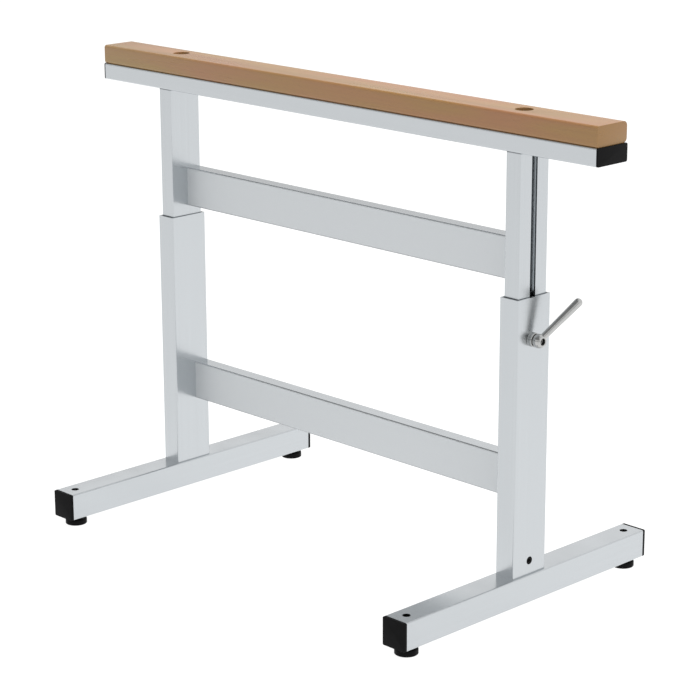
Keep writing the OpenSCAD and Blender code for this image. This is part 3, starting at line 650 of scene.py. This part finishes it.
bar_hole_x = centre("bar_bolt_right").x
low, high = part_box("top_bar")
bottom = (low.z - high.z) / MM
beech_bar = add_block("beech_bar", low, high)
edit(beech_bar)
for y, radius in ((low.y, FRONT_EDGE), (high.y, BACK_EDGE)):
    pick("EDGE", lambda edge: runs_along(edge, 0) and level(edge, 1, y))
    bpy.ops.mesh.bevel(offset=radius, segments=10, affect="EDGES")
pick("EDGE", lambda edge: level(edge, 0, low.x) or level(edge, 0, high.x))
bpy.ops.mesh.bevel(offset=END_EDGE, segments=3, affect="EDGES")
drill = turned("drill", [
    (0, bottom - 2), (7.3, bottom - 2), (7.3, bottom + 1.05), (4.3, bottom + 1.05),
    (4.3, -14), (12.5, -14), *arc((13.1, -0.6), 0.6, 180, 90, 4), (13.1, 2), (0, 2)])
for side in SIDES.values():
    combine(beech_bar, place(copy_of(drill, "drill_here"), (side * bar_hole_x, 0, high.z)), "DIFFERENCE")
throw_away(drill)
hand_over(beech_bar, "top_bar", "upper_frame", beech)
print("beech bar", len(beech_bar.data.polygons), "faces")

# %% [markdown]
# ## End caps
# A tube cap is a black moulding: a plate as big as the tube and a hollow plug that is pressed into it. It is one
# cube: the underside is inset and drawn down for the plug, inset again and pushed back up for the hollow. The
# upright edges are rounded last, because an inset that is wider than a round corner would fold over itself.

# %% End caps
ENDS = {"front": -1, "back": 1}
CORNERS = {f"{side}_{end}": (x, y) for side, x in SIDES.items() for end, y in ENDS.items()}
PLATE_EDGE = 0.4 * MM
PLUG_LENGTH = 12.0 * MM
PLUG_WALL = 2.2 * MM
PLUG_FIT = 0.05 * MM
PLUG_CORNER = 0.9 * MM
PLUG_LEAD = 0.8 * MM


def end_cap(name, width, depth, plate, tube_wall, tube_corner):
    """A cap with its plate up and its seat on the level."""
    cap = add_block(name, (-width / 2, -depth / 2, 0), (width / 2, depth / 2, plate))
    edit(cap)
    pick("FACE", lambda face: level(face, 2, 0))
    bpy.ops.mesh.inset(thickness=tube_wall + PLUG_FIT)
    bpy.ops.mesh.extrude_region_move(TRANSFORM_OT_translate={"value": (0, 0, -PLUG_LENGTH)})
    bpy.ops.mesh.inset(thickness=PLUG_WALL)
    bpy.ops.mesh.extrude_region_move(TRANSFORM_OT_translate={"value": (0, 0, PLUG_LENGTH)})
    pick("EDGE", lambda edge: runs_along(edge, 2) and abs(abs(middle(edge).x) - width / 2) < TINY)
    bpy.ops.mesh.bevel(offset=tube_corner, segments=6, affect="EDGES")
    pick("EDGE", lambda edge: runs_along(edge, 2) and middle(edge).z < 0)
    bpy.ops.mesh.bevel(offset=PLUG_CORNER, segments=4, affect="EDGES")
    pick("EDGE", lambda edge: level(edge, 2, plate))
    bpy.ops.mesh.bevel(offset=PLATE_EDGE, segments=4, affect="EDGES")
    plug_x, plug_y = width / 2 - tube_wall - PLUG_FIT, depth / 2 - tube_wall - PLUG_FIT
    pick("EDGE", lambda edge: level(edge, 2, -PLUG_LENGTH) and (
        abs(middle(edge).x) > plug_x - PLUG_CORNER or abs(middle(edge).y) > plug_y - PLUG_CORNER))
    bpy.ops.mesh.bevel(offset=PLUG_LEAD, segments=1, affect="EDGES")
    bpy.ops.object.mode_set(mode="OBJECT")
    return cap


foot_low, foot_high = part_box("foot_right")
foot_side = foot_high.x - foot_low.x
post_x = centre("foot_right").x
foot_cap = end_cap("foot_cap", foot_side, foot_side, plate=4.8 * MM, tube_wall=2.5 * MM, tube_corner=2 * MM)
for corner, (x, y) in CORNERS.items():
    node = "foot_cap_" + corner
    cap = copy_of(foot_cap, node + "_moulded")
    place(cap, (x * post_x, y * foot_high.y, centre("foot_right").z), (-y * math.pi / 2, 0, 0))
    hand_over(cap, node, "base", black_plastic)
throw_away(foot_cap)

beam_low, beam_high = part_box("beam")
beam_size = beam_high - beam_low
beam_cap = end_cap("beam_cap", beam_size.z, beam_size.y, plate=2.5 * MM, tube_wall=2 * MM, tube_corner=2.5 * MM)
for side, x in SIDES.items():
    node = f"beam_cap_{side}"
    cap = copy_of(beam_cap, node + "_moulded")
    place(cap, (x * beam_high.x, 0, centre("beam").z), (0, x * math.pi / 2, 0))
    hand_over(cap, node, "upper_frame", black_plastic)
throw_away(beam_cap)
print("caps", len(cap.data.polygons), "faces each")

# %% [markdown]
# ## Levelling pads
# A pad is a round black moulding with a rolled top edge, a socket for the spindle's stub and a grooved sole that
# grips the floor. Everything about it is round, so half of its outline is drawn and spun once. One pad is made and
# copied to the four corners.

# %% Levelling pads
pad_y = centre("pad_right_back").y
pad = turned("pad", [
    (0, 1.0), (8.2, 1.0), (8.8, 0), (11.0, 0), (11.3, 0.7), (12.3, 0.7), (12.6, 0), (15.9, 0), (16.5, 0.6),
    *arc((13.5, 6.2), 3.0, 0, 90, 8), (4.5, 9.2), (4.05, 8.75), (4.05, 4.15), (0, 4.15)], steps=96)
for corner, (x, y) in CORNERS.items():
    node = "pad_" + corner
    hand_over(place(copy_of(pad, node + "_moulded"), (x * post_x, y * pad_y, 0)), node, node, black_plastic)
print("pads", len(pad.data.polygons), "faces each")
throw_away(pad)

# %% [markdown]
# ## Levelling spindles
# The spindle is a screw with a hexagon for a spanner, a stub that turns in the pad and a hexagon socket in its top
# for a key. A cut across a screw thread is a circle with one bulge on it, and going up the screw the bulge goes
# round once in each pitch. So a circle is drawn with its bulge, drawn up to the full length, subdivided and turned
# by a Twist modifier, which gives a closed thread in one go. The hexagon is cut from a hexagonal bar with a turned
# shape, as its corners are chamfered on a lathe.

# %% Levelling spindles
PITCH = 1.5 * MM
CREST = 4.98 * MM
ROOT = 4.2 * MM
THREAD_LOW = 11.0 * MM
THREAD_HIGH = 39.2 * MM
ROUND = 32
CREST_SHARE = 0.12
ROOT_SHARE = 0.22
RING_CUTS = (18, 13)


def thread_radius(share):
    """Radius of the thread at a share of the way round: crest, flank, root and flank again."""
    from_crest = abs((share + 0.5) % 1.0 - 0.5) * 2
    fall = (from_crest - CREST_SHARE) / (1 - CREST_SHARE - ROOT_SHARE)
    return CREST - (CREST - ROOT) * min(max(fall, 0.0), 1.0)


clear_bench()
bpy.ops.mesh.primitive_circle_add(vertices=ROUND, radius=CREST, fill_type="NGON", location=(0, 0, 0))
spindle = bpy.context.object
spindle.name = "spindle"
for point in spindle.data.vertices:
    share = math.atan2(point.co.y, point.co.x) / math.tau
    point.co = point.co.normalized() * thread_radius(share)
edit(spindle)
bpy.ops.mesh.select_all(action="SELECT")
bpy.ops.mesh.extrude_region_move(TRANSFORM_OT_translate={"value": (0, 0, THREAD_HIGH - THREAD_LOW)})
for cuts in RING_CUTS:
    pick("EDGE", lambda edge: runs_along(edge, 2))
    bpy.ops.mesh.subdivide(number_cuts=cuts)
bpy.ops.mesh.select_all(action="SELECT")
bpy.ops.mesh.normals_make_consistent(inside=False)
take(spindle)
bpy.ops.object.modifier_add(type="SIMPLE_DEFORM")
twist = spindle.modifiers[-1]
twist.deform_method = "TWIST"
twist.deform_axis = "Z"
twist.angle = math.tau * (THREAD_HIGH - THREAD_LOW) / PITCH
bpy.ops.object.modifier_apply(modifier=twist.name)
place(spindle, (0, 0, THREAD_LOW))
combine(spindle, turned("lathe_cut", [(0, 10), (6, 10), (6, 38), (3.9, 39.2), (0, 39.2)]), "INTERSECT")
hexagon = add_hexagon("hexagon", 14 * MM, 9.25 * MM, 11.65 * MM)
combine(hexagon, turned("lathe_cut", [
    (0, 4.25), (3.6, 4.25), (4, 4.65), (4, 9.25), (6.9, 9.25), (8.2, 10.0), (8.2, 10.9), (6.9, 11.65), (0, 11.65)]),
    "INTERSECT")
stub = turned("stub", [(0, 4.25), (3.6, 4.25), (4, 4.65), (4, 10), (0, 10)])
combine(hexagon, stub, "UNION")
combine(spindle, hexagon, "UNION")
combine(spindle, add_hexagon("key", 5 * MM, 33.7 * MM, 41 * MM), "DIFFERENCE")
for corner, (x, y) in CORNERS.items():
    node = "spindle_" + corner
    hand_over(place(copy_of(spindle, node + "_threaded"), (x * post_x, y * pad_y, 0)), node, node, zinc_steel)
print("spindles", len(spindle.data.polygons), "faces each")
throw_away(spindle)

# %% [markdown]
# ## Threaded inserts
# A steel insert with a flange is pressed into the underside of the foot, and the spindle runs in it. Only the
# flange shows, with its edge broken by a small chamfer. The two inserts of a foot are one piece, because the CAD
# model has them as one node.

# %% Threaded inserts
insert = turned("insert", [
    (5.5, 11.7), (8.2, 11.7), (8.5, 12.0), (8.5, 13.2), (6.5, 13.2), (6.5, 29.7), (6.0, 30.2), (5.5, 30.2),
    (5.05, 29.75), (5.05, 12.15), (5.5, 11.7)])
for side, x in SIDES.items():
    node = f"inserts_{side}"
    pair = [place(copy_of(insert, "insert_here"), (x * post_x, y * pad_y, 0)) for y in ENDS.values()]
    hand_over(join(node + "_turned", *pair), node, "base", zinc_steel)
throw_away(insert)
print("inserts made")

# %% [markdown]
# ## Clamp levers
# The lever is turned from steel: a ball on a grooved neck, flat in front with a hole for the stud, and a tapered
# arm with a round tip that is set into the ball. Ball and arm are two outlines, spun about their own axes and
# welded by a boolean. The arm starts outside the hole, so the weld leaves the hole clean. The left lever is the
# right one mirrored, and a mirror turns a mesh inside out, so its normals are worked out again.

# %% Clamp levers
BALL_OUT = 10.0
ARM = Vector((0.384, 0.620, 0.684)).normalized()
ARM_START = 7.3
ARM_LENGTH = 74.0
ARM_ROOT = 4.5
ARM_TIP = 6.05

sleeve_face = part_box("sleeve_right")[1].x
clamp_z = centre("clamp_washer_right").z
arm_start_radius = ARM_ROOT + (ARM_TIP - ARM_ROOT) * ARM_START / ARM_LENGTH
lever = turned("clamp_lever_right_turned", [
    (4.05, 4.05), (6.2, 4.05), (6.5, 4.35), (6.5, 5.45), (8.5, 5.45),
    *arc((0, BALL_OUT), 10.0, -25.5, 42.5, 16), (7.0, 17.0), *arc((5.3, 16.6), 0.4, 90, 180, 3),
    (4.9, 11.0), (4.05, 11.0), (4.05, 4.05)], steps=96)
place(lever, (sleeve_face, 0, clamp_z), (0, math.pi / 2, 0))
arm = turned("arm", [
    (0, ARM_START), (arm_start_radius, ARM_START), *arc((0, ARM_LENGTH), ARM_TIP, 0, 90, 12)])
place(arm, (sleeve_face + BALL_OUT * MM, 0, clamp_z), Vector((0, 0, 1)).rotation_difference(ARM).to_euler())
combine(lever, arm, "UNION")
left_lever = place(copy_of(lever, "clamp_lever_left_turned"), scale=(-1, 1, 1))
edit(left_lever)
bpy.ops.mesh.select_all(action="SELECT")
bpy.ops.mesh.normals_make_consistent(inside=False)
bpy.ops.object.mode_set(mode="OBJECT")
hand_over(lever, "clamp_lever_right", "lever_right", lever_steel)
hand_over(left_lever, "clamp_lever_left", "lever_left", lever_steel)

# %% [markdown]
# ## Clamp washers
# The thick washer under each lever is turned from the same steel, with a broken edge on both faces.

# %% Clamp washers
washer = turned("washer", [
    (4.3, 0), (9.5, 0), (10, 0.5), (10, 3.4), (9.4, 4), (4.8, 4), (4.3, 3.5), (4.3, 0)], steps=96)
for side, x in SIDES.items():
    node = f"clamp_washer_{side}"
    piece = place(copy_of(washer, node + "_turned"), (x * sleeve_face, 0, clamp_z), (0, x * math.pi / 2, 0))
    hand_over(piece, node, "base", lever_steel)
throw_away(washer)
print("washers made")

# %% [markdown]
# ## Screws that show
# Two kinds of screw show from outside: the low dark screw in each sleeve, and the bolt with its washer at the
# bottom of each hole in the bar. Both are turned, and a hexagonal bar cuts the socket for the key.

# %% Screws that show
HEAD_SEAT = 2.45 * MM
screw_z = centre("base_screws").z
screw = turned("screw", [
    (0, -18), (2.5, -18), (3, -17.5), (3, 0), (5.6, 0), (5.6, 0.9), *arc((4.75, 0.9), 0.85, 0, 90, 4), (0, 1.75)])
combine(screw, add_hexagon("key", 4 * MM, 0.4 * MM, 3 * MM), "DIFFERENCE")
pair = [place(copy_of(screw, "screw_here"), (x * (sleeve_face - HEAD_SEAT), 0, screw_z), (0, x * math.pi / 2, 0))
        for x in SIDES.values()]
hand_over(join("base_screws_dark", *pair), "base_screws", "base", black_steel)
throw_away(screw)

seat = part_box("bar_washers")[0].z / MM
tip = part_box("bar_bolt_right")[0].z / MM
bolt = turned("bolt", [
    (0, tip), (3.4, tip), (4, tip + 0.6), (4, seat + 1.6), (7, seat + 1.6), (7, seat + 5.9),
    *arc((6.3, seat + 5.9), 0.7, 0, 90, 4), (0, seat + 6.6)])
combine(bolt, add_hexagon("key", 5 * MM, (seat + 3.85) * MM, (seat + 9) * MM), "DIFFERENCE")
ring = turned("ring", [
    (4.3, seat), (11, seat), (11, seat + 1.3), (10.7, seat + 1.6), (4.3, seat + 1.6), (4.3, seat)])
rings = []
for side, x in SIDES.items():
    node = f"bar_bolt_{side}"
    hand_over(place(copy_of(bolt, node + "_turned"), (x * bar_hole_x, 0, 0)), node, "upper_frame", zinc_steel)
    rings.append(place(copy_of(ring, "ring_here"), (x * bar_hole_x, 0, 0)))
hand_over(join("bar_washers_turned", *rings), "bar_washers", "upper_frame", zinc_steel)
throw_away(bolt, ring)
print("screws made")
